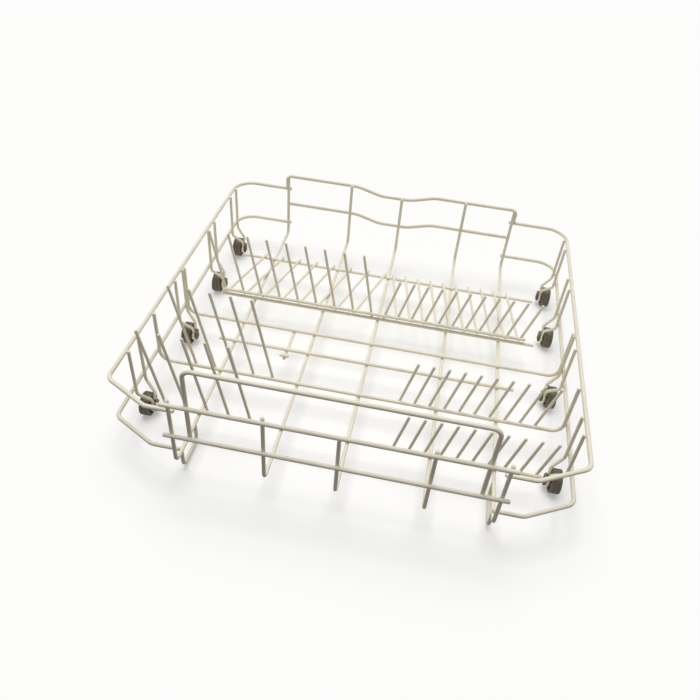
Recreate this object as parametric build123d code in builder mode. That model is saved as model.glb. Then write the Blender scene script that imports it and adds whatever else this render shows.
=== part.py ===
"""Lower rack of a dishwasher: a welded basket of coated steel wire on eight small rollers.

Millimetres. +Z is up, +X is to the right of someone who faces the handle, and the handle
is on the -Y side. The origin lies under the middle of the rack, where the rollers stand.
"""
import os
from math import cos, degrees, pi, radians, sin, tan

from build123d import *

# Wire sizes, coating included
rim_wire = 5.0
handle_wire = 5.0
floor_wire = 4.5
cross_wire = 4.5
tine_wire = 3.6
loop_wire = 4.0
weld_gap = 0.05
wire_sides = 8
bend_step = 30.0

# Basket: centre lines of the wires
rim_half_width = 262.0
floor_length = 497.0
floor_height = 33.0
lower_rim_height = 50.0
upper_rim_height = 112.0

# Plan of the two rims: cut-off front corners and round back corners
corner_width = 54.4
corner_depth = 29.0
corner_bend = 12.0
back_bend = 30.0
rim_tail = 4.0

# Floor wires, front to back, with a riser at the front and an upright at the back
floor_inset = 84.0
second_floor_x = -76.0
middle_floor_x = 4.5
fourth_floor_x = 103.0
floor_bend = 9.0
riser_over_bar = 1.0

# Foot loops under the outer floor wires
foot_depth = 15.5
foot_length = 42.0
foot_height = 5.5
foot_bend = 6.0

# Cross wires, left to right: how far they lie behind the risers and stop short of the rims
cross_front_depth = 72.1
cross_front_inset = 30.0
cross_mid_depth = 148.5
plate_stop_depth = 207.5
plate_stop_inset = 63.0
cross_wall_depth = 248.1
cross_rear_depth = 304.1
cross_back_depth = 407.1
cross_rear_inset = 35.0
wall_bend = 14.0
tine_bar_rise = 7.5
tine_bar_tail = 8.0

# Short wire in the floor with a small cross piece at its end
stub_x = -105.0
stub_reach = 55.0
stub_tail = 4.0
stub_cross = 13.0

# Raised back: two rails with a shallow dip
back_rail_height = 134.0
low_rail_height = 85.0
rail_leg_offset = 3.0
rail_bend = 7.0
dip_x = -6.0
dip_depth = 10.5
dip_top = 122.0
dip_bottom = 46.0
dip_bend = 45.0

# Handle: a hoop behind two bars
handle_height = 180.0
handle_half_width = 157.5
handle_bend = 10.0
mid_bar_height = 130.5
mid_bar_tail = 7.0
low_bar_height = 82.5
low_bar_tail = 8.0
hoop_below_bar = 3.0

# Plate tines: tall ones on the left and short ones on the right of each row, counted from the rims
left_tines = 5
right_tines = 10
rear_left_tines = 9
rear_right_tines = 11
front_left_inset = 41.0
front_left_pitch = 26.5
front_left_top = 150.0
front_left_lean = -22.0
front_right_inset = 36.6
front_right_pitch = 18.6
front_right_top = 93.0
front_right_lean = 13.0
mid_left_inset = 51.0
mid_left_pitch = 25.6
mid_left_top = 158.0
mid_left_lean = -25.0
mid_right_inset = 36.8
mid_right_pitch = 18.8
mid_right_top = 104.0
mid_right_lean = 16.0
rear_left_inset = 39.9
rear_left_pitch = 27.2
rear_left_top = 138.5
rear_left_lean = -20.0
rear_right_inset = 56.4
rear_right_pitch = 19.4
rear_right_top = 105.5
rear_right_lean = 18.0

# Legs of the rear tines, bent back to the last cross wire; the innermost tine of each side has none
left_leg_shift = 32.0
right_leg_shift = -19.4
leg_bend = 5.0
leg_tail = 4.0

# Rollers, and the wire loops that hang from the rims and hold them
wheel_diameter = 30.0
wheel_width = 12.0
wheel_inset = 9.0
first_wheel_depth = 90.1
second_wheel_depth = 230.5
third_wheel_depth = 356.1
fourth_wheel_depth = 457.5
axle_diameter = 8.9
axle_play = 0.05
head_width = 9.0
head_height = 13.0
head_thick = 3.0
head_play = 0.3
loop_half_width = 13.0
loop_elbow_drop = 6.0
loop_over_wheel = 1.0

# Places that follow from the sizes above
riser_y = -floor_length / 2
upright_y = floor_length / 2
rim_offset = (floor_wire + rim_wire) / 2 + weld_gap
rim_front_y = riser_y + rim_offset
rim_back_y = upright_y + rim_offset
bar_y = riser_y - (floor_wire + handle_wire) / 2 - weld_gap
hoop_y = bar_y + handle_wire + weld_gap
outer_floor_x = rim_half_width - floor_inset
foot_front_y = riser_y + foot_depth
cross_front_y = riser_y + cross_front_depth
cross_mid_y = riser_y + cross_mid_depth
plate_stop_y = riser_y + plate_stop_depth
cross_wall_y = riser_y + cross_wall_depth
cross_rear_y = riser_y + cross_rear_depth
cross_back_y = riser_y + cross_back_depth
cross_height = floor_height + (floor_wire + cross_wire) / 2 + weld_gap
wall_x = rim_half_width - (rim_wire + cross_wire) / 2 - weld_gap
rim_top = upper_rim_height + rim_wire / 2
tine_offset = (cross_wire + tine_wire) / 2 + weld_gap
tine_foot = cross_height - cross_wire / 2
tine_reach = tine_wire / 2 / cos(pi / wire_sides) + weld_gap
leg_foot = floor_height + floor_wire / 2 + tine_reach
leg_run = cross_back_y - cross_rear_y - tine_offset
leg_rise = cross_height + cross_wire / 2 + tine_reach - leg_foot
leg_end = leg_foot + leg_rise * (leg_run + leg_tail) / leg_run
tine_bar_height = cross_height + tine_bar_rise
rear_left_x = rear_left_inset - rim_half_width
rear_right_x = rim_half_width - rear_right_inset
axle_height = wheel_diameter / 2
wheel_x = rim_half_width - wheel_inset
wheel_inner_x = wheel_x - wheel_width / 2
loop_x = wheel_inner_x - head_play - loop_wire / 2
loop_top_x = rim_half_width - (rim_wire + loop_wire) / 2 - weld_gap
eye_radius = axle_diameter / 2 + axle_play + loop_wire / 2 / cos(pi / wire_sides)
wheel_depths = (first_wheel_depth, second_wheel_depth, third_wheel_depth, fourth_wheel_depth)
wheel_ys = [riser_y + depth for depth in wheel_depths]
floor_xs = (-outer_floor_x, second_floor_x, middle_floor_x, fourth_floor_x, outer_floor_x)


def wire_section(size):
    """Adds a wire's section to the open sketch, flat where it meets the wires it crosses."""
    RegularPolygon(size / 2, wire_sides, major_radius=False, rotation=180 / wire_sides)


def bent_path(points, bends):
    """Lists the points of a wire path, each corner bent to its radius in short straight steps."""
    spots = [Vector(*points[0])]
    for before, corner, after, bend in zip(points, points[1:], points[2:], bends):
        corner = Vector(*corner)
        back = (Vector(*before) - corner).normalized()
        on = (Vector(*after) - corner).normalized()
        half = radians(back.get_angle(on) / 2)
        turn = 180 - degrees(2 * half)
        centre = corner + (back + on).normalized() * (bend / sin(half))
        arm = corner + back * (bend / tan(half)) - centre
        pivot = Axis((0, 0, 0), tuple(on.cross(back)))
        steps = max(1, round(turn / bend_step))
        spots += [centre + arm.rotate(pivot, turn * step / steps) for step in range(steps + 1)]
    spots.append(Vector(*points[-1]))
    return spots


def round_wire(points, size, bends=None):
    """Adds one wire through the points to the open part; without radii its corners stay sharp."""
    with BuildLine() as path:
        Polyline(*(bent_path(points, bends) if bends else points))
    with BuildSketch(Plane(path.wire() @ 0, z_dir=path.wire() % 0)) as section:
        wire_section(size)
    sweep(section.sketch, path=path.wire(), transition=Transition.RIGHT)


def cross_run(start_x, end_x, y, height, size):
    """Adds a straight wire along X to the open part."""
    round_wire([(start_x, y, height), (end_x, y, height)], size)


def rail_points(height, half_length):
    """Points of a back rail along X, with the dip near its middle."""
    return [
        (-half_length, rim_back_y, height),
        (dip_x - dip_top / 2, rim_back_y, height),
        (dip_x - dip_bottom / 2, rim_back_y, height - dip_depth),
        (dip_x + dip_bottom / 2, rim_back_y, height - dip_depth),
        (dip_x + dip_top / 2, rim_back_y, height),
        (half_length, rim_back_y, height),
    ]


def dip_at(x):
    """Depth of the rails' dip at a place along X."""
    slope = (dip_top / 2 - abs(x - dip_x)) / (dip_top / 2 - dip_bottom / 2)
    return dip_depth * min(1, max(0, slope))


def tine_row(first_x, pitch, count, row_y, top, lean):
    """Adds a row of straight leaning tines to the open part."""
    for number in range(count):
        x = first_x + number * pitch
        round_wire([(x, row_y, tine_foot), (x + lean, row_y, top)], tine_wire)


def legged_row(first_x, pitch, count, top, lean, leg_shift):
    """Adds a row of leaning tines to the open part, each with a leg that runs back along the floor."""
    row_y = cross_rear_y + tine_offset
    for number in range(count):
        x = first_x + number * pitch
        route = [
            (x + lean, row_y, top),
            (x, row_y, leg_foot),
            (x + leg_shift, cross_back_y + leg_tail, leg_end),
        ]
        round_wire(route, tine_wire, [leg_bend])


def save(piece, name):
    """Names a finished piece and writes it to its own file."""
    piece.part.label = name
    export_step(piece.part, f"parts/{name}.step")


os.makedirs("parts", exist_ok=True)

# The two rims: each is a left and a right wire from the front riser round to the upright
for name, height in (("rim_upper", upper_rim_height), ("rim_lower", lower_rim_height)):
    with BuildPart() as rim:
        for side in (-1, 1):
            plan = [
                (side * (outer_floor_x - rim_tail), rim_front_y, height),
                (side * (rim_half_width - corner_width), rim_front_y, height),
                (side * rim_half_width, rim_front_y + corner_depth, height),
                (side * rim_half_width, rim_back_y, height),
                (side * (outer_floor_x - rim_tail), rim_back_y, height),
            ]
            round_wire(plan, rim_wire, [corner_bend, corner_bend, back_bend])
    save(rim, name)

# Raised back: the upper rail stands on the rim's ends, the lower one crosses the uprights
leg_x = outer_floor_x + rail_leg_offset
rail_legs = [(-leg_x, rim_back_y, rim_top + weld_gap), (leg_x, rim_back_y, rim_top + weld_gap)]
with BuildPart() as back_rail_upper:
    upper_path = [rail_legs[0]] + rail_points(back_rail_height, leg_x) + [rail_legs[1]]
    round_wire(upper_path, rim_wire, [rail_bend] + [dip_bend] * 4 + [rail_bend])
save(back_rail_upper, "back_rail_upper")

with BuildPart() as back_rail_lower:
    round_wire(rail_points(low_rail_height, leg_x), rim_wire, [dip_bend] * 4)
save(back_rail_lower, "back_rail_lower")

# Five floor wires, each with its riser and its upright
for number, x in enumerate(floor_xs, start=1):
    with BuildPart() as floor_run:
        route = [
            (x, upright_y, back_rail_height - dip_at(x) + rim_wire / 2),
            (x, upright_y, floor_height),
            (x, riser_y, floor_height),
            (x, riser_y, mid_bar_height + handle_wire / 2 + riser_over_bar),
        ]
        round_wire(route, floor_wire, [floor_bend, floor_bend])
    save(floor_run, f"floor_wire_{number}")

# Foot loops under the two outer floor wires
foot_top = floor_height - floor_wire / 2 - weld_gap
foot_back_y = foot_front_y + foot_length
with BuildPart() as front_feet:
    for x in (-outer_floor_x, outer_floor_x):
        foot = [
            (x, foot_front_y, foot_top),
            (x, foot_front_y, foot_height + foot_bend),
            (x, foot_front_y + foot_bend, foot_height),
            (x, foot_back_y - foot_bend, foot_height),
            (x, foot_back_y, foot_height + foot_bend),
            (x, foot_back_y, foot_top),
        ]
        round_wire(foot, floor_wire)
save(front_feet, "front_feet")

# Handle: the hoop stands behind the two bars
with BuildPart() as handle_hoop:
    hoop_foot = low_bar_height - handle_wire / 2 - hoop_below_bar
    hoop = [
        (-handle_half_width, hoop_y, hoop_foot),
        (-handle_half_width, hoop_y, handle_height),
        (handle_half_width, hoop_y, handle_height),
        (handle_half_width, hoop_y, hoop_foot),
    ]
    round_wire(hoop, handle_wire, [handle_bend, handle_bend])
save(handle_hoop, "handle_hoop")

with BuildPart() as handle_bar_mid:
    mid_bar_end = outer_floor_x + mid_bar_tail
    cross_run(-mid_bar_end, mid_bar_end, bar_y, mid_bar_height, handle_wire)
save(handle_bar_mid, "handle_bar_mid")

with BuildPart() as handle_bar_low:
    low_bar_end = outer_floor_x + low_bar_tail
    cross_run(-low_bar_end, low_bar_end, bar_y, low_bar_height, handle_wire)
save(handle_bar_low, "handle_bar_low")

# Two cross wires run up both walls to the upper rim
for name, y in (("cross_wire_mid", cross_mid_y), ("cross_wire_wall", cross_wall_y)):
    with BuildPart() as wall_run:
        route = [
            (-wall_x, y, rim_top),
            (-wall_x, y, cross_height),
            (wall_x, y, cross_height),
            (wall_x, y, rim_top),
        ]
        round_wire(route, cross_wire, [wall_bend, wall_bend])
    save(wall_run, name)

# The other cross wires lie straight on the floor wires
straight_runs = {
    "cross_wire_front": (cross_front_inset, cross_front_y),
    "plate_stop": (plate_stop_inset, plate_stop_y),
    "cross_wire_rear": (cross_rear_inset, cross_rear_y),
    "cross_wire_back": (cross_rear_inset, cross_back_y),
}
for name, (inset, y) in straight_runs.items():
    with BuildPart() as straight_run:
        end_x = rim_half_width - inset
        cross_run(-end_x, end_x, y, cross_height, cross_wire)
    save(straight_run, name)

# Bar above the rear cross wire, along the feet of the rear tines
with BuildPart() as tine_bar:
    bar_start = cross_rear_inset - rim_half_width
    bar_end = rear_right_x + tine_bar_tail
    cross_run(bar_start, bar_end, cross_rear_y, tine_bar_height, cross_wire)
save(tine_bar, "tine_bar")

# Short wire under two cross wires, with a small cross piece on its front end
with BuildPart() as floor_stub:
    stub_end = cross_wall_y - stub_reach
    stub_start = cross_wall_y + stub_tail
    round_wire([(stub_x, stub_start, floor_height), (stub_x, stub_end, floor_height)], floor_wire)
    stub_y = stub_end + cross_wire / 2
    stub_half = stub_cross / 2
    cross_run(stub_x - stub_half, stub_x + stub_half, stub_y, cross_height, cross_wire)
save(floor_stub, "floor_stub")

# Plate tines, welded to the back of their cross wires
with BuildPart() as tines_front:
    row_y = cross_front_y + tine_offset
    left_x = front_left_inset - rim_half_width
    right_x = rim_half_width - front_right_inset
    tine_row(left_x, front_left_pitch, left_tines, row_y, front_left_top, front_left_lean)
    tine_row(right_x, -front_right_pitch, right_tines, row_y, front_right_top, front_right_lean)
save(tines_front, "tines_front")

with BuildPart() as tines_mid:
    row_y = cross_mid_y + tine_offset
    left_x = mid_left_inset - rim_half_width
    right_x = rim_half_width - mid_right_inset
    tine_row(left_x, mid_left_pitch, left_tines, row_y, mid_left_top, mid_left_lean)
    tine_row(right_x, -mid_right_pitch, right_tines, row_y, mid_right_top, mid_right_lean)
save(tines_mid, "tines_mid")

with BuildPart() as tines_rear:
    row_y = cross_rear_y + tine_offset
    left_legs = rear_left_tines - 1
    right_legs = rear_right_tines - 1
    inner_left_x = rear_left_x + left_legs * rear_left_pitch
    inner_right_x = rear_right_x - right_legs * rear_right_pitch
    legged_row(rear_left_x, rear_left_pitch, left_legs, rear_left_top, rear_left_lean, left_leg_shift)
    legged_row(rear_right_x, -rear_right_pitch, right_legs, rear_right_top, rear_right_lean, right_leg_shift)
    tine_row(inner_left_x, rear_left_pitch, 1, row_y, rear_left_top, rear_left_lean)
    tine_row(inner_right_x, rear_right_pitch, 1, row_y, rear_right_top, rear_right_lean)
save(tines_rear, "tines_rear")

# Wire loops that hang from the rims, bend in under the basket and close to an eye round the axle
with BuildPart() as roller_loops:
    elbow = lower_rim_height - loop_elbow_drop
    neck = wheel_diameter + loop_over_wheel
    eye_step = eye_radius * tan(pi / 8)
    for side in (-1, 1):
        for y in wheel_ys:
            leg = [
                (side * loop_top_x, loop_half_width, rim_top),
                (side * loop_top_x, loop_half_width, elbow),
                (side * loop_x, eye_radius, neck),
                (side * loop_x, eye_step, axle_height + eye_radius),
                (side * loop_x, eye_radius, axle_height + eye_step),
                (side * loop_x, eye_radius, axle_height - eye_step),
                (side * loop_x, eye_step, axle_height - eye_radius),
            ]
            down = [(x, y + dy, z) for x, dy, z in leg]
            up = [(x, y - dy, z) for x, dy, z in leg[::-1]]
            round_wire(down + up, loop_wire)
save(roller_loops, "roller_loops")

# Rollers: a wheel, and a stub axle that turns in the bend of its loop with a snap head inside
axle_length = wheel_inner_x - (loop_x - loop_wire / 2 - head_play)
for tag, side in (("left", -1), ("right", 1)):
    for number, y in enumerate(wheel_ys, start=1):
        inner_face = Plane((side * wheel_inner_x, y, axle_height), x_dir=(0, 1, 0), z_dir=(side, 0, 0))
        with BuildPart() as wheel:
            with BuildSketch(inner_face):
                Circle(wheel_diameter / 2)
            extrude(amount=wheel_width)
            with BuildSketch(inner_face):
                Circle(axle_diameter / 2)
            extrude(amount=-axle_length)
            with BuildSketch(inner_face.offset(-axle_length)):
                Rectangle(head_width, head_height)
            extrude(amount=-head_thick)
        save(wheel, f"wheel_{tag}_{number}")
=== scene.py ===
"""Looks of a dishwasher's lower rack: round coated wire, moulded rollers, a pale floor and soft light."""
import math

import bpy
from bpy.props import FloatProperty, FloatVectorProperty, IntProperty, PointerProperty
from mathutils import Matrix, Vector


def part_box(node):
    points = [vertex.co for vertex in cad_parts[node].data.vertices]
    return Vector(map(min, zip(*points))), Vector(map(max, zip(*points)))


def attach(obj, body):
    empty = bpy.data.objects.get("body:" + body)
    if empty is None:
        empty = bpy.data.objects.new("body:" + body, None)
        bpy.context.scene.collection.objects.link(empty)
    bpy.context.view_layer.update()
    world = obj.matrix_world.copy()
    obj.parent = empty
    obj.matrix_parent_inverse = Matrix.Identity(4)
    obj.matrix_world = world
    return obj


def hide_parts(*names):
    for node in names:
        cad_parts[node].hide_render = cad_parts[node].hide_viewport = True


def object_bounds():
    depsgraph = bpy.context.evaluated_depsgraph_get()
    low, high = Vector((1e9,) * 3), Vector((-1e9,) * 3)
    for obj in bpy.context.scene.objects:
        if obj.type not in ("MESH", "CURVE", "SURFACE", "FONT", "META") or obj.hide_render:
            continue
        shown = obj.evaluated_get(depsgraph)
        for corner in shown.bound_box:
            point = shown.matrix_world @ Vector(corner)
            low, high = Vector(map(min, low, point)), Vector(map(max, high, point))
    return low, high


bl_info = {
    "name": "Dishwasher Lower Rack",
    "version": (1, 0, 0),
    "blender": (4, 5, 0),
    "location": "View3D > Sidebar > Rack",
    "description": "Dresses the lower rack with round coated wire, rollers, a floor and light",
    "category": "Object",
}

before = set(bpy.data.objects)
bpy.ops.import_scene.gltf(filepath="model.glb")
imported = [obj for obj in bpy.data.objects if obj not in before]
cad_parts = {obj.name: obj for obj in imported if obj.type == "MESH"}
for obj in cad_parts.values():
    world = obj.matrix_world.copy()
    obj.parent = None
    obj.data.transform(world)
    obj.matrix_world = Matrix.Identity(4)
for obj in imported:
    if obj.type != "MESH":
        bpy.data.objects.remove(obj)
cad_low, cad_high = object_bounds()

WIRE_BODY = "basket"
COAT_NAME = "satin_coat"
PLASTIC_NAME = "dark_moulding"
FIRST_WHEEL = "wheel_right_1"

# Places closer than this, in metres, are one place, and sizes that agree to this many decimals are alike
SAME_PLACE = 2e-6
LIKE_DECIMALS = 4

# Least and most share of X in the normal of a face that looks along it or away from it
ALONG_X = 0.9
OFF_X = 0.1

# How finely the shapes are made: sides, steps, and angles in degrees
CAD_WIRE_SIDES = 8
ROLLER_SIDES = 48
ROLLER_RIBS = 6
ROUNDING_STEPS = 3
EDGE_STEPS = 2
BEND_STEP = 9.0
LEAST_BEND_STEPS = 2
WIRE_SMOOTHING = 50.0
ROLLER_SMOOTHING = 35.0
SHARP_EDGE = 40.0

# Rounding of a wire's end as a share of its thickness, and of an eye's corners as a share of its radius
END_ROUNDING = 0.3
EYE_ROUNDING = 0.85

# Scales of the patterns in the finishes, per metre
COAT_CLOUDS = 34.0
COAT_DRIPS = 180.0
COAT_PEEL = 900.0
ROLLER_MOTTLE = 160.0
ROLLER_GRAIN = 2600.0
FLOOR_GRAIN = 6.0

# Levels of a pattern at which the coating's patches and specks start to show and show in full
PATCHES_SHOW = (0.35, 0.7)
SPECKS_SHOW = (0.62, 0.78)

# The output of a Mix node that holds its colour
MIX_COLOUR = 2

# The photograph's camera, fitted to the rack: metres, degrees, millimetres and shares of the picture's width
CAMERA_PLACE = (0.06177, -0.68277, 0.64286)
CAMERA_TURN = (48.533, -3.810, 10.747)
CAMERA_LENS = 34.182
CAMERA_SHIFT = (0.0011, -0.0136)
CAMERA_NEAR = 0.01
SENSOR_WIDTH = 36.0

# The stage: size and places in metres, and shares and levels of light where 1 is white
FLOOR_SIZE = 12.0
FLOOR_WHITE = 0.3
FLOOR_FLECKS = 0.04
BOUNCE_STARTS = -0.28
BOUNCE_FULL = -0.12
WHITE = (1.0, 1.0, 1.0)
STAGE_SEEN = 1.0
WORLD_LIGHT = 0.32

# The lamp: its place in metres, its spread in degrees and its strength in watts per square metre
LAMP_PLACE = (-0.15, 0.35, 1.8)
LAMP_SPREAD = 40.0
LAMP_STRENGTH = 2.2


def span(node):
    """Size of a CAD node's box."""
    low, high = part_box(node)
    return high - low


def middle(node):
    """Centre of a CAD node's box."""
    low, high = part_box(node)
    return (low + high) / 2


def other_wheels():
    """Every wheel but the first, each with the half turn that brings the first one to its side."""
    for node in sorted(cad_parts):
        if node.startswith("wheel_") and node != FIRST_WHEEL:
            yield node, "Z" if "_left_" in node else None


def length_value(label, words, default):
    """A length in metres that a user can change."""
    return FloatProperty(name=label, description=words, default=default, min=0.0, unit="LENGTH", precision=4)


def share_value(label, words, default):
    """A share from 0 to 1 that a user can change."""
    return FloatProperty(name=label, description=words, default=default, min=0.0, max=1.0, subtype="FACTOR")


def colour_value(label, words, default):
    """A linear colour that a user can change."""
    return FloatVectorProperty(
        name=label, description=words, default=default, min=0.0, max=1.0, size=3, subtype="COLOR"
    )


class RackSizes(bpy.types.PropertyGroup):
    """Thicknesses and bends of the wires, and places and small shapes that the frame doesn't give."""

    wire_steps: IntProperty(
        name="Wire roundness",
        description="Steps round a quarter of a wire's section",
        default=6,
        min=2,
        max=12,
    )
    rim_wire: length_value("Rim wire", "Thickness of the rims and back rails", span("rim_upper").z)
    handle_wire: length_value("Handle wire", "Thickness of the handle", span("handle_bar_mid").z)
    floor_wire: length_value("Floor wire", "Thickness of the floor wires", span("floor_wire_3").x)
    cross_wire: length_value("Cross wire", "Thickness of the cross wires", span("cross_wire_rear").z)
    tine_wire: length_value("Tine wire", "Thickness of the plate tines", span("tines_front").y)
    loop_wire: length_value("Loop wire", "Thickness of the roller loops", 0.004)
    weld_gap: length_value("Weld gap", "Gap between wires that are welded", 0.00005)
    corner_width: length_value("Corner width", "Width of a cut-off front corner", 0.0544)
    corner_depth: length_value("Corner depth", "Depth of a cut-off front corner", 0.029)
    corner_bend: length_value("Corner bend", "Bend of the rims at the front corners", 0.012)
    back_bend: length_value("Back bend", "Bend of the rims at the back corners", 0.030)
    rim_tail: length_value("Rim tail", "How far a rim runs past its last upright", 0.004)
    rail_bend: length_value("Rail bend", "Bend at the ends of the raised back rail", 0.007)
    dip_bend: length_value("Dip bend", "Bend of the dip in the back rails", 0.045)
    dip_depth: length_value("Dip depth", "Depth of the dip in the back rails", 0.0105)
    dip_top: length_value("Dip top", "Width of the dip at its top", 0.122)
    dip_bottom: length_value("Dip bottom", "Width of the dip at its bottom", 0.046)
    dip_left: length_value("Dip offset", "How far the dip lies left of the middle", 0.006)
    floor_bend: length_value("Floor bend", "Bend of the floor wires into their ends", 0.009)
    riser_over_bar: length_value("Riser tip", "How far a riser stands above its bar", 0.001)
    foot_bend: length_value("Foot bend", "Bend of the foot loops", 0.009)
    handle_bend: length_value("Handle bend", "Bend of the handle hoop", 0.010)
    wall_bend: length_value("Wall bend", "Bend of the cross wires into the walls", 0.014)
    leg_bend: length_value("Leg bend", "Bend of the rear tines into their legs", 0.005)
    loop_half_width: length_value("Loop half width", "Half the width of a roller loop", 0.013)
    loop_drop: length_value("Loop drop", "How far below the lower rim a loop bends in", 0.006)
    loop_over_wheel: length_value("Loop clearance", "Height of a loop's neck above its roller", 0.001)
    loop_bend: length_value("Loop bend", "Bend of a loop under the basket", 0.006)
    pinch_bend: length_value("Pinch bend", "Bend where a loop closes to its eye", 0.003)
    wheel_width: length_value("Roller width", "Width of a roller's tread", 0.012)
    tread_round: length_value("Tread rounding", "Rounding of a tread's edges", 0.0009)
    groove_width: length_value("Groove width", "Width of the grooves round a tread", 0.0012)
    groove_depth: length_value("Groove depth", "Depth of the grooves round a tread", 0.0007)
    face_wall: length_value("Face wall", "Wall round the sunk faces of a roller", 0.0022)
    face_depth: length_value("Face depth", "How far the faces of a roller are sunk", 0.0028)
    rib_height: length_value("Rib height", "Height of the ribs on a roller's face", 0.0021)
    boss_radius: length_value("Boss radius", "Radius of the boss on a roller's face", 0.0046)
    boss_wall: length_value("Boss wall", "Wall round the sunk middle of a boss", 0.00184)
    boss_depth: length_value("Boss depth", "How far the middle of a boss is sunk", 0.0014)
    axle_radius: length_value("Axle radius", "Radius of a roller's stub axle", 0.00445)
    axle_play: length_value("Axle play", "Room between an axle and its loop", 0.00022)
    axle_in_head: length_value("Axle end", "How far an axle runs into its snap head", 0.00075)
    head_play: length_value("Head play", "Room between a loop and its roller", 0.0003)
    head_thick: length_value("Head thickness", "Thickness of a roller's snap head", 0.003)
    head_width: length_value("Head width", "Width of a roller's snap head", 0.009)
    head_height: length_value("Head height", "Height of a roller's snap head", 0.013)
    head_round: length_value("Head rounding", "Rounding of a snap head's end", 0.0012)
    slot_width: length_value("Slot width", "Width of the slot in a snap head", 0.0018)
    slot_depth: length_value("Slot depth", "Depth of the slot in a snap head", 0.0015)
    edge_break: length_value("Broken edges", "Width of the bevel on a roller's small edges", 0.0002)


class RackFinish(bpy.types.PropertyGroup):
    """Colours and gloss of the coating, the rollers and the floor."""

    coat_light: colour_value("Coat", "Colour of the wire coating", (0.84, 0.795, 0.66))
    coat_shade: colour_value("Coat shade", "Colour of the coating where it lies thick", (0.78, 0.725, 0.58))
    coat_speck: colour_value("Coat specks", "Colour of small stains in the coating", (0.50, 0.44, 0.33))
    speck_strength: share_value("Speck strength", "How strongly the stains show", 0.15)
    coat_roughness: share_value("Coat roughness", "Roughness of the coating where it is smoothest", 0.36)
    shade_roughness: share_value("Shade roughness", "Roughness that thick coating adds", 0.14)
    speck_roughness: share_value("Speck roughness", "Roughness that the stains add", 0.1)
    coat_gloss: share_value("Coat gloss", "Strength of the coating's reflections", 0.25)
    peel_share: share_value("Fine peel", "Share of the fine peel in the coating's bumps", 0.3)
    peel_strength: share_value("Peel strength", "How strongly the coating's bumps show", 0.15)
    peel_depth: length_value("Peel depth", "Depth of the coating's bumps", 0.0002)
    roller_light: colour_value("Roller", "Colour of the rollers", (0.155, 0.138, 0.094))
    roller_shade: colour_value("Roller shade", "Darker colour of the rollers", (0.098, 0.087, 0.057))
    roller_roughness: share_value("Roller roughness", "Roughness of a roller where it is smoothest", 0.42)
    mottle_roughness: share_value("Mottle roughness", "Roughness that the rollers' darker spots add", 0.2)
    grain_strength: share_value("Grain strength", "How strongly the rollers' grain shows", 0.3)
    grain_depth: length_value("Grain depth", "Depth of the rollers' grain", 0.0001)
    floor_colour: colour_value("Floor", "Colour of the pale floor", (0.97, 0.965, 0.955))
    floor_fleck: colour_value("Floor flecks", "Colour of the floor's faint flecks", (0.80, 0.79, 0.76))
    bounce_front: colour_value("Front bounce", "Floor's bounce in front of the rack", (0.05, 0.04, 0.028))
    bounce_under: colour_value("Under bounce", "Floor's bounce under the rack", (0.94, 0.89, 0.78))


class Value:
    """A socket of a material, for writing shader maths as plain expressions."""

    def __init__(self, material_nodes, socket):
        self.nodes = material_nodes
        self.socket = socket

    def math(self, operation, first, second):
        """The result of a Math node on two numbers or sockets."""
        return self.nodes.add("ShaderNodeMath", {"operation": operation}, {0: first, 1: second})

    def __add__(self, other):
        return self.math("ADD", self, other)

    def __radd__(self, other):
        return self.math("ADD", other, self)

    def __mul__(self, other):
        return self.math("MULTIPLY", self, other)

    def __rmul__(self, other):
        return self.math("MULTIPLY", other, self)


class Nodes:
    """A node tree that is filled node by node."""

    def __init__(self, tree):
        self.tree = tree
        tree.nodes.clear()

    def add(self, kind, settings=None, sockets=None, output=0):
        """Adds a node, sets it up, fills its sockets and returns one of its outputs."""
        node = self.tree.nodes.new(kind)
        for key, setting in (settings or {}).items():
            setattr(node, key, setting)
        for key, given in (sockets or {}).items():
            if isinstance(given, Value):
                self.tree.links.new(given.socket, node.inputs[key])
            elif hasattr(given, "__len__") and node.inputs[key].type == "RGBA":
                node.inputs[key].default_value = (*given, 1.0)
            else:
                node.inputs[key].default_value = given
        return Value(self, node.outputs[output]) if node.outputs else None


def new_material(name):
    """An empty material and the nodes to fill it with."""
    material = bpy.data.materials.new(name)
    material.use_nodes = True
    return material, Nodes(material.node_tree)


def noise(nodes, place, scale, detail):
    """A cloudy pattern from 0 to 1."""
    return nodes.add("ShaderNodeTexNoise", None, {"Vector": place, "Scale": scale, "Detail": detail})


def stretched(nodes, value, start, end):
    """A mask that goes from 0 to 1 as a value goes from its start to its end."""
    return nodes.add("ShaderNodeMapRange", None, {"Value": value, "From Min": start, "From Max": end})


def mixed_colour(nodes, mask, first, second):
    """A colour that goes from the first to the second as the mask rises."""
    sockets = {"Factor": mask, "A": first, "B": second}
    return nodes.add("ShaderNodeMix", {"data_type": "RGBA"}, sockets, output=MIX_COLOUR)


def bumps(nodes, height, strength, depth):
    """A normal that follows a height."""
    return nodes.add("ShaderNodeBump", None, {"Strength": strength, "Distance": depth, "Height": height})


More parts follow.
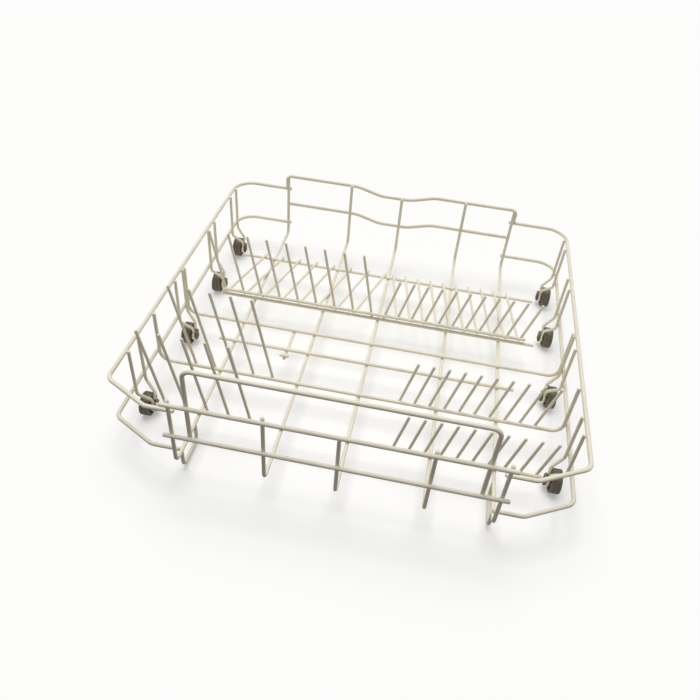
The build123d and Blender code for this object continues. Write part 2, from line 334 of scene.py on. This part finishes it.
def coated_wire_material(finish):
    """Smooth satin plastic coating: faint clouds of tone, fine specks, orange peel and duller patches."""
    material, nodes = new_material(COAT_NAME)
    place = nodes.add("ShaderNodeTexCoord", output="Object")
    clouds = noise(nodes, place, COAT_CLOUDS, detail=3.0)
    peel = noise(nodes, place, COAT_PEEL, detail=2.0)
    drips = noise(nodes, place, COAT_DRIPS, detail=1.0)
    patches = stretched(nodes, clouds, *PATCHES_SHOW)
    specks = stretched(nodes, drips, *SPECKS_SHOW)
    coat = mixed_colour(nodes, patches, finish.coat_light, finish.coat_shade)
    tone = mixed_colour(nodes, specks * finish.speck_strength, coat, finish.coat_speck)
    dulling = finish.shade_roughness * patches + finish.speck_roughness * specks
    height = peel * finish.peel_share + drips
    surface = nodes.add(
        "ShaderNodeBsdfPrincipled",
        None,
        {
            "Base Color": tone,
            "Roughness": finish.coat_roughness + dulling,
            "Specular IOR Level": finish.coat_gloss,
            "Normal": bumps(nodes, height, finish.peel_strength, finish.peel_depth),
        },
    )
    nodes.add("ShaderNodeOutputMaterial", None, {"Surface": surface})
    return material


def roller_material(finish):
    """Dark moulded plastic: mottled tone, a fine grain and a dull sheen."""
    material, nodes = new_material(PLASTIC_NAME)
    place = nodes.add("ShaderNodeTexCoord", output="Object")
    mottle = noise(nodes, place, ROLLER_MOTTLE, detail=4.0)
    grain = noise(nodes, place, ROLLER_GRAIN, detail=1.0)
    surface = nodes.add(
        "ShaderNodeBsdfPrincipled",
        None,
        {
            "Base Color": mixed_colour(nodes, mottle, finish.roller_light, finish.roller_shade),
            "Roughness": finish.roller_roughness + finish.mottle_roughness * mottle,
            "Normal": bumps(nodes, grain, finish.grain_strength, finish.grain_depth),
        },
    )
    nodes.add("ShaderNodeOutputMaterial", None, {"Surface": surface})
    return material


def give_material(piece, name, make, context):
    """Gives a piece one material, which is made the first time it is asked for."""
    material = bpy.data.materials.get(name) or make(context.scene.rack_finish)
    piece.data.materials.clear()
    piece.data.materials.append(material)


def deselect_all():
    """Leaves nothing selected."""
    bpy.ops.object.select_all(action="DESELECT")


def pick_corner(wire, corner):
    """Selects the one vertex of a wire's line that lies at a corner."""
    for edge in wire.data.edges:
        edge.select = False
    for vertex in wire.data.vertices:
        vertex.select = (vertex.co - corner).length < SAME_PLACE
    if sum(vertex.select for vertex in wire.data.vertices) != 1:
        raise RuntimeError(f"The wire has no single corner at {corner}")


def round_corner(wire, before, corner, after, bend):
    """Rounds one corner of a wire's line to its bend."""
    half = (before - corner).angle(after - corner) / 2
    turn = math.degrees(math.pi - 2 * half)
    steps = max(LEAST_BEND_STEPS, round(turn / BEND_STEP))
    pick_corner(wire, corner)
    bpy.ops.object.mode_set(mode="EDIT")
    bpy.ops.mesh.select_mode(type="VERT")
    bpy.ops.mesh.bevel(offset=bend / math.tan(half), segments=steps, affect="VERTICES")
    bpy.ops.object.mode_set(mode="OBJECT")


def close_ends(thickness):
    """Merges the active tube, makes each end one face and rounds its edge, as dipped wire has."""
    bpy.ops.object.mode_set(mode="EDIT")
    bpy.ops.mesh.select_mode(type="FACE")
    bpy.ops.mesh.select_all(action="SELECT")
    bpy.ops.mesh.remove_doubles(threshold=SAME_PLACE)
    bpy.ops.mesh.normals_make_consistent(inside=False)
    bpy.ops.mesh.select_all(action="DESELECT")
    bpy.ops.mesh.select_face_by_sides(number=3, type="EQUAL")
    bpy.ops.mesh.dissolve_faces()
    bpy.ops.mesh.region_to_loop()
    bpy.ops.mesh.bevel(offset=thickness * END_ROUNDING, segments=ROUNDING_STEPS, affect="EDGES")
    bpy.ops.object.mode_set(mode="OBJECT")


def bend_wire(points, thickness, bends=()):
    """Extrudes a line from point to point, rounds its corners and gives it a round section."""
    deselect_all()
    bpy.ops.mesh.primitive_plane_add(size=thickness)
    line = bpy.context.object
    bpy.ops.object.mode_set(mode="EDIT")
    bpy.ops.mesh.select_mode(type="VERT")
    bpy.ops.mesh.merge(type="CENTER")
    bpy.ops.transform.translate(value=points[0])
    for start, end in zip(points, points[1:]):
        bpy.ops.mesh.extrude_region_move(TRANSFORM_OT_translate={"value": end - start})
    bpy.ops.object.mode_set(mode="OBJECT")
    for before, corner, after, bend in zip(points, points[1:], points[2:], bends):
        round_corner(line, before, corner, after, bend)
    bpy.ops.object.convert(target="CURVE")
    curve = bpy.context.object.data
    curve.bevel_depth = thickness / 2
    curve.bevel_resolution = bpy.context.scene.rack_sizes.wire_steps
    curve.use_fill_caps = True
    bpy.ops.object.convert(target="MESH")
    close_ends(thickness)
    bpy.ops.object.shade_smooth_by_angle(angle=math.radians(WIRE_SMOOTHING))
    return bpy.context.object


def copy_piece(piece, from_place, to_place, half_turn=None):
    """A copy with its own mesh, turned half round an axis or not, that brings one place to another."""
    deselect_all()
    piece.select_set(True)
    bpy.context.view_layer.objects.active = piece
    bpy.ops.object.duplicate()
    copy = bpy.context.object
    turn = Matrix.Rotation(math.pi, 3, half_turn) if half_turn else Matrix.Identity(3)
    copy.rotation_euler = turn.to_euler()
    copy.location = to_place - turn @ from_place
    bpy.ops.object.transform_apply()
    return copy


def join_pieces(pieces, name):
    """Makes several pieces one, under one name."""
    if not pieces:
        raise RuntimeError(f"Nothing was made for {name}")
    deselect_all()
    for piece in pieces:
        piece.select_set(True)
    bpy.context.view_layer.objects.active = pieces[0]
    if len(pieces) > 1:
        bpy.ops.object.join()
    joined = bpy.context.object
    joined.name = name
    joined.data.name = name
    return joined


def dress_wires(node, wires, context):
    """Joins the wires that stand for a CAD node, coats them and fixes them to the basket."""
    piece = join_pieces(wires, f"{node}_wire")
    give_material(piece, COAT_NAME, coated_wire_material, context)
    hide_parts(node)
    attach(piece, WIRE_BODY)


def loose_parts(node):
    """Vertex places of each separate wire in a CAD node, read from a merged copy."""
    deselect_all()
    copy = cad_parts[node].copy()
    copy.data = copy.data.copy()
    bpy.context.scene.collection.objects.link(copy)
    copy.select_set(True)
    bpy.context.view_layer.objects.active = copy
    bpy.ops.object.mode_set(mode="EDIT")
    bpy.ops.mesh.select_all(action="SELECT")
    bpy.ops.mesh.remove_doubles(threshold=SAME_PLACE)
    bpy.ops.mesh.separate(type="LOOSE")
    bpy.ops.object.mode_set(mode="OBJECT")
    meshes = [part.data for part in bpy.context.selected_objects]
    places = [[vertex.co.copy() for vertex in mesh.vertices] for mesh in meshes]
    bpy.ops.object.delete()
    return places


def centre(places):
    """Middle of some places."""
    return sum(places, Vector()) / len(places)


def extent(places):
    """Size of the box round some places."""
    return [max(place[axis] for place in places) - min(place[axis] for place in places) for axis in range(3)]


def straight_run(places):
    """Start and end of a straight wire, the middles of its two end rings."""
    size = extent(places)
    along = size.index(max(size))
    ordered = sorted(places, key=lambda place: place[along])
    ring = len(ordered) // 2
    return [centre(ordered[:ring]), centre(ordered[ring:])]


def legged_run(places):
    """Tip, corner and leg end of a tine that bends back along the floor."""
    by_depth = sorted(places, key=lambda place: place.y)
    leg_end = centre(by_depth[-CAD_WIRE_SIDES:])
    leg_start = centre(by_depth[-2 * CAD_WIRE_SIDES:-CAD_WIRE_SIDES])
    tip = centre(sorted(places, key=lambda place: place.z)[-CAD_WIRE_SIDES:])
    back = (leg_start.y - tip.y) / (leg_end.y - leg_start.y)
    return [tip, leg_start + (leg_start - leg_end) * back, leg_end]


def like_wires(node, thickness, bend=0.0):
    """Makes one round wire of each shape in a CAD node and copies it to the places of its likes."""
    models = {}
    wires = []
    for places in loose_parts(node):
        shape = (len(places), *(round(size, LIKE_DECIMALS) for size in extent(places)))
        if shape in models:
            model, model_place = models[shape]
            wires.append(copy_piece(model, model_place, centre(places)))
            continue
        bent = len(places) > 2 * CAD_WIRE_SIDES
        run = legged_run(places) if bent else straight_run(places)
        wire = bend_wire(run, thickness, [bend] if bent else ())
        models[shape] = wire, centre(places)
        wires.append(wire)
    return wires


def stepped_route(start, end, level):
    """Corners of a wire that goes straight up or down from its start, runs level and comes to its end."""
    return [
        Vector(start),
        Vector((start[0], start[1], level)),
        Vector((end[0], end[1], level)),
        Vector(end),
    ]


class RACK_OT_rims(bpy.types.Operator):
    """Bend the left and right wires of both rims"""

    bl_idname = "rack.rims"
    bl_label = "Rims"

    def execute(self, context):
        sizes = context.scene.rack_sizes
        half = sizes.rim_wire / 2
        low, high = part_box("rim_upper")
        end_x = middle("floor_wire_5").x - sizes.rim_tail
        side_x, front_y, back_y = high.x - half, low.y + half, high.y - half
        upper = middle("rim_upper")
        plan = [
            (end_x, front_y),
            (side_x - sizes.corner_width, front_y),
            (side_x, front_y + sizes.corner_depth),
            (side_x, back_y),
            (end_x, back_y),
        ]
        bends = (sizes.corner_bend, sizes.corner_bend, sizes.back_bend)
        right = bend_wire([Vector((x, y, upper.z)) for x, y in plan], sizes.rim_wire, bends)
        wires = [right, copy_piece(right, upper, upper, half_turn="Y")]
        copies = [copy_piece(wire, upper, middle("rim_lower")) for wire in wires]
        dress_wires("rim_upper", wires, context)
        dress_wires("rim_lower", copies, context)
        return {"FINISHED"}


def rail_line(sizes, half_length, depth_y, height):
    """Corners of a back rail along X, with the dip left of its middle."""
    dip = -sizes.dip_left
    corners = [
        (-half_length, 0.0),
        (dip - sizes.dip_top / 2, 0.0),
        (dip - sizes.dip_bottom / 2, sizes.dip_depth),
        (dip + sizes.dip_bottom / 2, sizes.dip_depth),
        (dip + sizes.dip_top / 2, 0.0),
        (half_length, 0.0),
    ]
    return [Vector((x, depth_y, height - drop)) for x, drop in corners]


def dip_at(sizes, x):
    """Depth of the back rails' dip at a place along X."""
    slope = (sizes.dip_top / 2 - abs(x + sizes.dip_left)) / (sizes.dip_top / 2 - sizes.dip_bottom / 2)
    return sizes.dip_depth * min(1.0, max(0.0, slope))


class RACK_OT_back_rails(bpy.types.Operator):
    """Bend the two dipped rails of the back wall"""

    bl_idname = "rack.back_rails"
    bl_label = "Back rails"

    def execute(self, context):
        sizes = context.scene.rack_sizes
        half = sizes.rim_wire / 2
        dip_bends = [sizes.dip_bend] * 4
        low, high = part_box("back_rail_upper")
        leg_x = high.x - half
        depth_y = middle("back_rail_upper").y
        line = rail_line(sizes, leg_x, depth_y, high.z - half)
        left_foot, right_foot = [Vector((x, depth_y, low.z)) for x in (-leg_x, leg_x)]
        bends = [sizes.rail_bend, *dip_bends, sizes.rail_bend]
        upper = bend_wire([left_foot, *line, right_foot], sizes.rim_wire, bends)
        dress_wires("back_rail_upper", [upper], context)
        low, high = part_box("back_rail_lower")
        line = rail_line(sizes, high.x, middle("back_rail_lower").y, high.z - half)
        lower = bend_wire(line, sizes.rim_wire, dip_bends)
        dress_wires("back_rail_lower", [lower], context)
        return {"FINISHED"}


def lower_upright(wire, drop):
    """Shortens the upright at the back of a floor wire."""
    rim_z = middle("rim_lower").z
    for vertex in wire.data.vertices:
        vertex.select = vertex.co.y > 0.0 and vertex.co.z > rim_z
    bpy.ops.object.mode_set(mode="EDIT")
    bpy.ops.mesh.select_mode(type="VERT")
    bpy.ops.transform.translate(value=(0.0, 0.0, -drop))
    bpy.ops.object.mode_set(mode="OBJECT")


class RACK_OT_floor_wires(bpy.types.Operator):
    """Bend the floor wires with their risers and uprights"""

    bl_idname = "rack.floor_wires"
    bl_label = "Floor wires"

    def execute(self, context):
        sizes = context.scene.rack_sizes
        half = sizes.floor_wire / 2
        names = sorted(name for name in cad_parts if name.startswith("floor_wire_"))
        low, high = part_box(names[0])
        place = middle(names[0])
        rail_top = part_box("back_rail_upper")[1].z
        riser_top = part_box("handle_bar_mid")[1].z + sizes.riser_over_bar
        back = (place.x, high.y - half, rail_top)
        front = (place.x, low.y + half, riser_top)
        route = stepped_route(back, front, low.z + half)
        first = bend_wire(route, sizes.floor_wire, [sizes.floor_bend] * 2)
        wires = [first]
        for name in names[1:]:
            wire = copy_piece(first, place, Vector((middle(name).x, place.y, place.z)))
            lower_upright(wire, dip_at(sizes, middle(name).x))
            wires.append(wire)
        for name, wire in zip(names, wires):
            dress_wires(name, [wire], context)
        return {"FINISHED"}


class RACK_OT_front_feet(bpy.types.Operator):
    """Bend the two foot loops under the front of the floor"""

    bl_idname = "rack.front_feet"
    bl_label = "Front feet"

    def execute(self, context):
        sizes = context.scene.rack_sizes
        half = sizes.floor_wire / 2
        low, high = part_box("front_feet")
        left = Vector((low.x + half, 0.0, 0.0))
        right = Vector((high.x - half, 0.0, 0.0))
        front = (left.x, low.y + half, high.z)
        back = (left.x, high.y - half, high.z)
        route = stepped_route(front, back, low.z + half)
        foot = bend_wire(route, sizes.floor_wire, [sizes.foot_bend] * 2)
        dress_wires("front_feet", [foot, copy_piece(foot, left, right)], context)
        return {"FINISHED"}


class RACK_OT_handle(bpy.types.Operator):
    """Bend the handle's hoop and lay the two bars in front of it"""

    bl_idname = "rack.handle"
    bl_label = "Handle"

    def execute(self, context):
        sizes = context.scene.rack_sizes
        half = sizes.handle_wire / 2
        low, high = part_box("handle_hoop")
        place = middle("handle_hoop")
        left = (low.x + half, place.y, low.z)
        right = (high.x - half, place.y, low.z)
        route = stepped_route(left, right, high.z - half)
        hoop = bend_wire(route, sizes.handle_wire, [sizes.handle_bend] * 2)
        dress_wires("handle_hoop", [hoop], context)
        for node in ("handle_bar_mid", "handle_bar_low"):
            dress_wires(node, like_wires(node, sizes.handle_wire), context)
        return {"FINISHED"}


class RACK_OT_cross_wires(bpy.types.Operator):
    """Bend the cross wires that run up the walls and lay the straight ones"""

    bl_idname = "rack.cross_wires"
    bl_label = "Cross wires"

    def execute(self, context):
        sizes = context.scene.rack_sizes
        half = sizes.cross_wire / 2
        low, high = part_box("cross_wire_mid")
        place = middle("cross_wire_mid")
        left = (low.x + half, place.y, high.z)
        right = (high.x - half, place.y, high.z)
        route = stepped_route(left, right, low.z + half)
        mid = bend_wire(route, sizes.cross_wire, [sizes.wall_bend] * 2)
        wall = copy_piece(mid, place, middle("cross_wire_wall"))
        dress_wires("cross_wire_mid", [mid], context)
        dress_wires("cross_wire_wall", [wall], context)
        across = ("cross_wire_front", "plate_stop", "cross_wire_rear", "cross_wire_back")
        for node in (*across, "tine_bar", "floor_stub"):
            dress_wires(node, like_wires(node, sizes.cross_wire), context)
        return {"FINISHED"}


class RACK_OT_tines(bpy.types.Operator):
    """Set up the three rows of leaning plate tines"""

    bl_idname = "rack.tines"
    bl_label = "Plate tines"

    def execute(self, context):
        sizes = context.scene.rack_sizes
        for node in ("tines_front", "tines_mid", "tines_rear"):
            dress_wires(node, like_wires(node, sizes.tine_wire, sizes.leg_bend), context)
        return {"FINISHED"}


def loop_line(sizes, wheel):
    """Corners and bends of a right roller loop: down from the rims, in under the basket, round the axle."""
    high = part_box(wheel)[1]
    hub = middle(wheel)
    half = sizes.loop_wire / 2
    eye = sizes.axle_radius + sizes.axle_play + half
    # The eye is bent round the corners of an octagon
    half_side = eye * math.tan(math.pi / 8)
    rim_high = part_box("rim_upper")[1]
    top_x = rim_high.x - sizes.rim_wire - half - sizes.weld_gap
    eye_x = high.x - sizes.wheel_width - sizes.head_play - half
    leg = [
        (top_x, sizes.loop_half_width, rim_high.z),
        (top_x, sizes.loop_half_width, middle("rim_lower").z - sizes.loop_drop),
        (eye_x, eye, high.z + sizes.loop_over_wheel),
        (eye_x, half_side, hub.z + eye),
        (eye_x, eye, hub.z + half_side),
        (eye_x, eye, hub.z - half_side),
        (eye_x, half_side, hub.z - eye),
    ]
    down = [Vector((x, hub.y + y, z)) for x, y, z in leg]
    up = [Vector((x, hub.y - y, z)) for x, y, z in reversed(leg)]
    eye_bends = [eye * EYE_ROUNDING] * 3
    bends = [sizes.loop_bend, sizes.loop_bend, sizes.pinch_bend, *eye_bends]
    return down + up, bends + bends[::-1]


class RACK_OT_roller_loops(bpy.types.Operator):
    """Bend the wire loops that hold the rollers"""

    bl_idname = "rack.roller_loops"
    bl_label = "Roller loops"

    def execute(self, context):
        sizes = context.scene.rack_sizes
        line, bends = loop_line(sizes, FIRST_WHEEL)
        loop = bend_wire(line, sizes.loop_wire, bends)
        wires = [loop]
        for wheel, half_turn in other_wheels():
            wires.append(copy_piece(loop, middle(FIRST_WHEEL), middle(wheel), half_turn))
        dress_wires("roller_loops", wires, context)
        return {"FINISHED"}


def start_shaping():
    """Puts a new primitive's place in its mesh and opens it in edit mode."""
    bpy.ops.object.transform_apply()
    bpy.ops.object.mode_set(mode="EDIT")
    return bpy.context.object


def pick_faces(piece, test):
    """Selects the faces of the piece in edit mode whose centre and normal pass a test."""
    bpy.ops.mesh.select_mode(type="FACE")
    bpy.ops.mesh.select_all(action="DESELECT")
    bpy.ops.object.mode_set(mode="OBJECT")
    for face in piece.data.polygons:
        face.select = test(face.center, face.normal)
    if not any(face.select for face in piece.data.polygons):
        raise RuntimeError(f"{piece.name} has no such face")
    bpy.ops.object.mode_set(mode="EDIT")


def cut_across(place, normal):
    """Cuts an edge all round the piece in edit mode, where a plane meets it."""
    bpy.ops.mesh.select_all(action="SELECT")
    bpy.ops.mesh.bisect(plane_co=place, plane_no=normal)


def push(distance):
    """Extrudes what is selected along X."""
    bpy.ops.mesh.extrude_region_move(TRANSFORM_OT_translate={"value": (distance, 0.0, 0.0)})


def round_rim(width):
    """Rounds the edges round what is selected."""
    bpy.ops.mesh.region_to_loop()
    bpy.ops.mesh.bevel(offset=width, segments=ROUNDING_STEPS, affect="EDGES")


def shape_tread(roller, sizes, hub, radius, inner_x, outer_x):
    """Rounds the edges of a tread and sinks two grooves round it."""
    pick_faces(roller, lambda place, normal: abs(normal.x) > ALONG_X)
    round_rim(sizes.tread_round)
    half = sizes.groove_width / 2
    third = (outer_x - inner_x) / 3
    shrink = 1.0 - sizes.groove_depth / radius
    for groove_x in (inner_x + third, outer_x - third):
        for edge_x in (groove_x - half, groove_x + half):
            cut_across((edge_x, hub.y, hub.z), (1.0, 0.0, 0.0))
        pick_faces(roller, lambda place, normal: abs(place.x - groove_x) < half and abs(normal.x) < OFF_X)
        bpy.ops.mesh.extrude_region_move()
        bpy.ops.transform.resize(value=(1.0, shrink, shrink), center_override=hub)


def on_rib(place, hub):
    """Whether a face of the sunk ring lies where a rib stands."""
    half_side = 180.0 / ROLLER_SIDES
    apart = 360.0 / ROLLER_RIBS
    turn = math.degrees(math.atan2(place.z - hub.z, place.y - hub.y)) - half_side
    return abs((turn + apart / 2) % apart - apart / 2) < half_side


def shape_faces(roller, sizes, hub, radius, inner_x, outer_x):
    """Sinks both faces of a roller, with a ribbed boss outside and the stub axle inside."""
    flat = (radius - sizes.tread_round) * math.cos(math.pi / ROLLER_SIDES) - sizes.face_wall
    sunk_x = outer_x - sizes.face_depth
    pick_faces(roller, lambda place, normal: normal.x > ALONG_X and place.x > outer_x - SAME_PLACE)
    bpy.ops.mesh.inset(thickness=sizes.face_wall)
    push(-sizes.face_depth)
    bpy.ops.mesh.inset(thickness=flat - sizes.boss_radius)
    push(sizes.face_depth)
    bpy.ops.mesh.inset(thickness=sizes.boss_wall)
    push(-sizes.boss_depth)
    pick_faces(
        roller,
        lambda place, normal: (
            normal.x > ALONG_X and abs(place.x - sunk_x) < SAME_PLACE and on_rib(place, hub)
        ),
    )
    push(sizes.rib_height)
    axle_length = sizes.loop_wire + 2 * sizes.head_play
    pick_faces(roller, lambda place, normal: normal.x < -ALONG_X and place.x < inner_x + SAME_PLACE)
    bpy.ops.mesh.inset(thickness=sizes.face_wall)
    push(sizes.face_depth)
    bpy.ops.mesh.inset(thickness=flat - sizes.axle_radius)
    push(-sizes.face_depth - axle_length - sizes.axle_in_head)


def snap_head(sizes, hub, inner_x):
    """The slotted head on the end of the stub axle that snaps through a loop's eye."""
    deselect_all()
    bpy.ops.mesh.primitive_cube_add(
        size=1.0,
        location=(inner_x + sizes.head_thick / 2, hub.y, hub.z),
        scale=(sizes.head_thick, sizes.head_width, sizes.head_height),
    )
    head = start_shaping()
    pick_faces(head, lambda place, normal: normal.x < -ALONG_X)
    round_rim(sizes.head_round)
    half = sizes.slot_width / 2
    for edge_z in (hub.z - half, hub.z + half):
        cut_across((inner_x, hub.y, edge_z), (0.0, 0.0, 1.0))
    pick_faces(head, lambda place, normal: normal.x < -ALONG_X and abs(place.z - hub.z) < half)
    push(sizes.slot_depth)
    bpy.ops.object.mode_set(mode="OBJECT")
    return head


def mould_roller(sizes):
    """The first roller: grooved tread, sunk faces, stub axle and snap head, with its small edges broken."""
    low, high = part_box(FIRST_WHEEL)
    hub = middle(FIRST_WHEEL)
    radius = (high.y - low.y) / 2
    inner_x = high.x - sizes.wheel_width
    head = snap_head(sizes, hub, low.x)
    deselect_all()
    bpy.ops.mesh.primitive_cylinder_add(
        vertices=ROLLER_SIDES,
        radius=radius,
        depth=sizes.wheel_width,
        location=((inner_x + high.x) / 2, hub.y, hub.z),
        rotation=(0.0, math.pi / 2, 0.0),
    )
    roller = start_shaping()
    shape_tread(roller, sizes, hub, radius, inner_x, high.x)
    shape_faces(roller, sizes, hub, radius, inner_x, high.x)
    bpy.ops.object.mode_set(mode="OBJECT")
    roller = join_pieces([roller, head], "roller")
    edges = roller.modifiers.new("edges", "BEVEL")
    edges.width = sizes.edge_break
    edges.segments = EDGE_STEPS
    edges.limit_method = "ANGLE"
    edges.angle_limit = math.radians(SHARP_EDGE)
    bpy.ops.object.modifier_apply(modifier=edges.name)
    bpy.ops.object.shade_smooth_by_angle(angle=math.radians(ROLLER_SMOOTHING))
    return roller


class RACK_OT_rollers(bpy.types.Operator):
    """Mould one roller and snap a copy into every loop"""

    bl_idname = "rack.rollers"
    bl_label = "Rollers"

    def execute(self, context):
        first = mould_roller(context.scene.rack_sizes)
        rollers = {FIRST_WHEEL: first}
        for wheel, half_turn in other_wheels():
            rollers[wheel] = copy_piece(first, middle(FIRST_WHEEL), middle(wheel), half_turn)
        for wheel, roller in rollers.items():
            roller.name = wheel.replace("wheel", "roller")
            roller.data.name = roller.name
            give_material(roller, PLASTIC_NAME, roller_material, context)
            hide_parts(wheel)
            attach(roller, wheel)
        return {"FINISHED"}


def seen_rays(nodes):
    """1 where the stage is looked at, also in a gloss or through a clear piece, and 0 where it lights."""
    rays = ("Is Camera Ray", "Is Glossy Ray", "Is Transmission Ray")
    camera, glossy, clear = [nodes.add("ShaderNodeLightPath", output=ray) for ray in rays]
    return camera + glossy + clear


def mixed_shader(nodes, mask, first, second):
    """A surface that goes from the first to the second as the mask rises."""
    return nodes.add("ShaderNodeMixShader", None, {"Fac": mask, 1: first, 2: second})


def floor_material(finish):
    """A pale floor with a shadow. It throws little light back in front of the rack, and more under it."""
    material, nodes = new_material("pale_floor")
    place = nodes.add("ShaderNodeTexCoord", output="Object")
    grain = noise(nodes, place, FLOOR_GRAIN, detail=2.0)
    paper = mixed_colour(nodes, FLOOR_FLECKS * grain, finish.floor_colour, finish.floor_fleck)
    shaded = nodes.add("ShaderNodeBsdfDiffuse", None, {"Color": paper})
    white = nodes.add("ShaderNodeEmission", None, {"Color": WHITE, "Strength": STAGE_SEEN})
    seen = mixed_shader(nodes, FLOOR_WHITE, shaded, white)
    depth = nodes.add("ShaderNodeSeparateXYZ", None, {"Vector": place}, output="Y")
    under = stretched(nodes, depth, BOUNCE_STARTS, BOUNCE_FULL)
    bounce = mixed_colour(nodes, under, finish.bounce_front, finish.bounce_under)
    unseen = nodes.add("ShaderNodeBsdfDiffuse", None, {"Color": bounce})
    surface = mixed_shader(nodes, seen_rays(nodes), unseen, seen)
    nodes.add("ShaderNodeOutputMaterial", None, {"Surface": surface})
    return material


def light_world(world):
    """White behind the object, and a dimmer even light on it."""
    world.use_nodes = True
    nodes = Nodes(world.node_tree)
    levels = {"Value": seen_rays(nodes), "To Min": WORLD_LIGHT, "To Max": STAGE_SEEN}
    strength = nodes.add("ShaderNodeMapRange", None, levels)
    sky = nodes.add("ShaderNodeBackground", None, {"Color": WHITE, "Strength": strength})
    nodes.add("ShaderNodeOutputWorld", None, {"Surface": sky})


def add_soft_sun(name, place, spread, strength):
    """A wide, even lamp that shines from a place towards the rack."""
    deselect_all()
    bpy.ops.object.light_add(type="SUN", location=place)
    lamp = bpy.context.object
    lamp.name = name
    lamp.data.angle = math.radians(spread)
    lamp.data.energy = strength
    lamp.rotation_euler = Vector(place).to_track_quat("Z", "Y").to_euler()


def add_camera(context):
    """The camera at the photograph's view."""
    deselect_all()
    turn = [math.radians(angle) for angle in CAMERA_TURN]
    bpy.ops.object.camera_add(location=CAMERA_PLACE, rotation=turn)
    camera = context.object
    camera.data.lens = CAMERA_LENS
    camera.data.sensor_width = SENSOR_WIDTH
    camera.data.shift_x, camera.data.shift_y = CAMERA_SHIFT
    camera.data.clip_start = CAMERA_NEAR
    context.scene.camera = camera


class RACK_OT_stage(bpy.types.Operator):
    """Set up the floor, the world, the lamp and the camera"""

    bl_idname = "rack.stage"
    bl_label = "Stage"

    def execute(self, context):
        deselect_all()
        bpy.ops.mesh.primitive_plane_add(size=FLOOR_SIZE, location=(0.0, 0.0, cad_low.z))
        floor = context.object
        floor.name = "stage_floor"
        floor.data.materials.append(floor_material(context.scene.rack_finish))
        context.scene.world = bpy.data.worlds.new("studio")
        light_world(context.scene.world)
        add_soft_sun("top_softbox", LAMP_PLACE, LAMP_SPREAD, LAMP_STRENGTH)
        add_camera(context)
        context.scene.view_settings.view_transform = "Standard"
        return {"FINISHED"}


OPERATORS = (
    RACK_OT_rims,
    RACK_OT_back_rails,
    RACK_OT_floor_wires,
    RACK_OT_front_feet,
    RACK_OT_handle,
    RACK_OT_cross_wires,
    RACK_OT_tines,
    RACK_OT_roller_loops,
    RACK_OT_rollers,
    RACK_OT_stage,
)


class RACK_PT_panel(bpy.types.Panel):
    """Lists the rack's pieces, its sizes and its finishes"""

    bl_idname = "RACK_PT_panel"
    bl_label = "Dishwasher Lower Rack"
    bl_space_type = "VIEW_3D"
    bl_region_type = "UI"
    bl_category = "Rack"

    def draw(self, context):
        layout = self.layout
        for operator in OPERATORS:
            layout.operator(operator.bl_idname)
        for group in (context.scene.rack_sizes, context.scene.rack_finish):
            box = layout.box()
            for name in group.__annotations__:
                box.prop(group, name)


CLASSES = (RackSizes, RackFinish, *OPERATORS, RACK_PT_panel)


def register():
    """Adds the rack's operators, panel, sizes and finishes to Blender."""
    for each in CLASSES:
        bpy.utils.register_class(each)
    bpy.types.Scene.rack_sizes = PointerProperty(type=RackSizes)
    bpy.types.Scene.rack_finish = PointerProperty(type=RackFinish)


def unregister():
    """Takes them away again."""
    del bpy.types.Scene.rack_finish
    del bpy.types.Scene.rack_sizes
    for each in reversed(CLASSES):
        bpy.utils.unregister_class(each)


def main():
    """Dresses the rack piece by piece and sets the stage."""
    register()
    bpy.ops.rack.rims()
    bpy.ops.rack.back_rails()
    bpy.ops.rack.floor_wires()
    bpy.ops.rack.front_feet()
    bpy.ops.rack.handle()
    bpy.ops.rack.cross_wires()
    bpy.ops.rack.tines()
    bpy.ops.rack.roller_loops()
    bpy.ops.rack.rollers()
    bpy.ops.rack.stage()


if __name__ == "__main__":
    main()
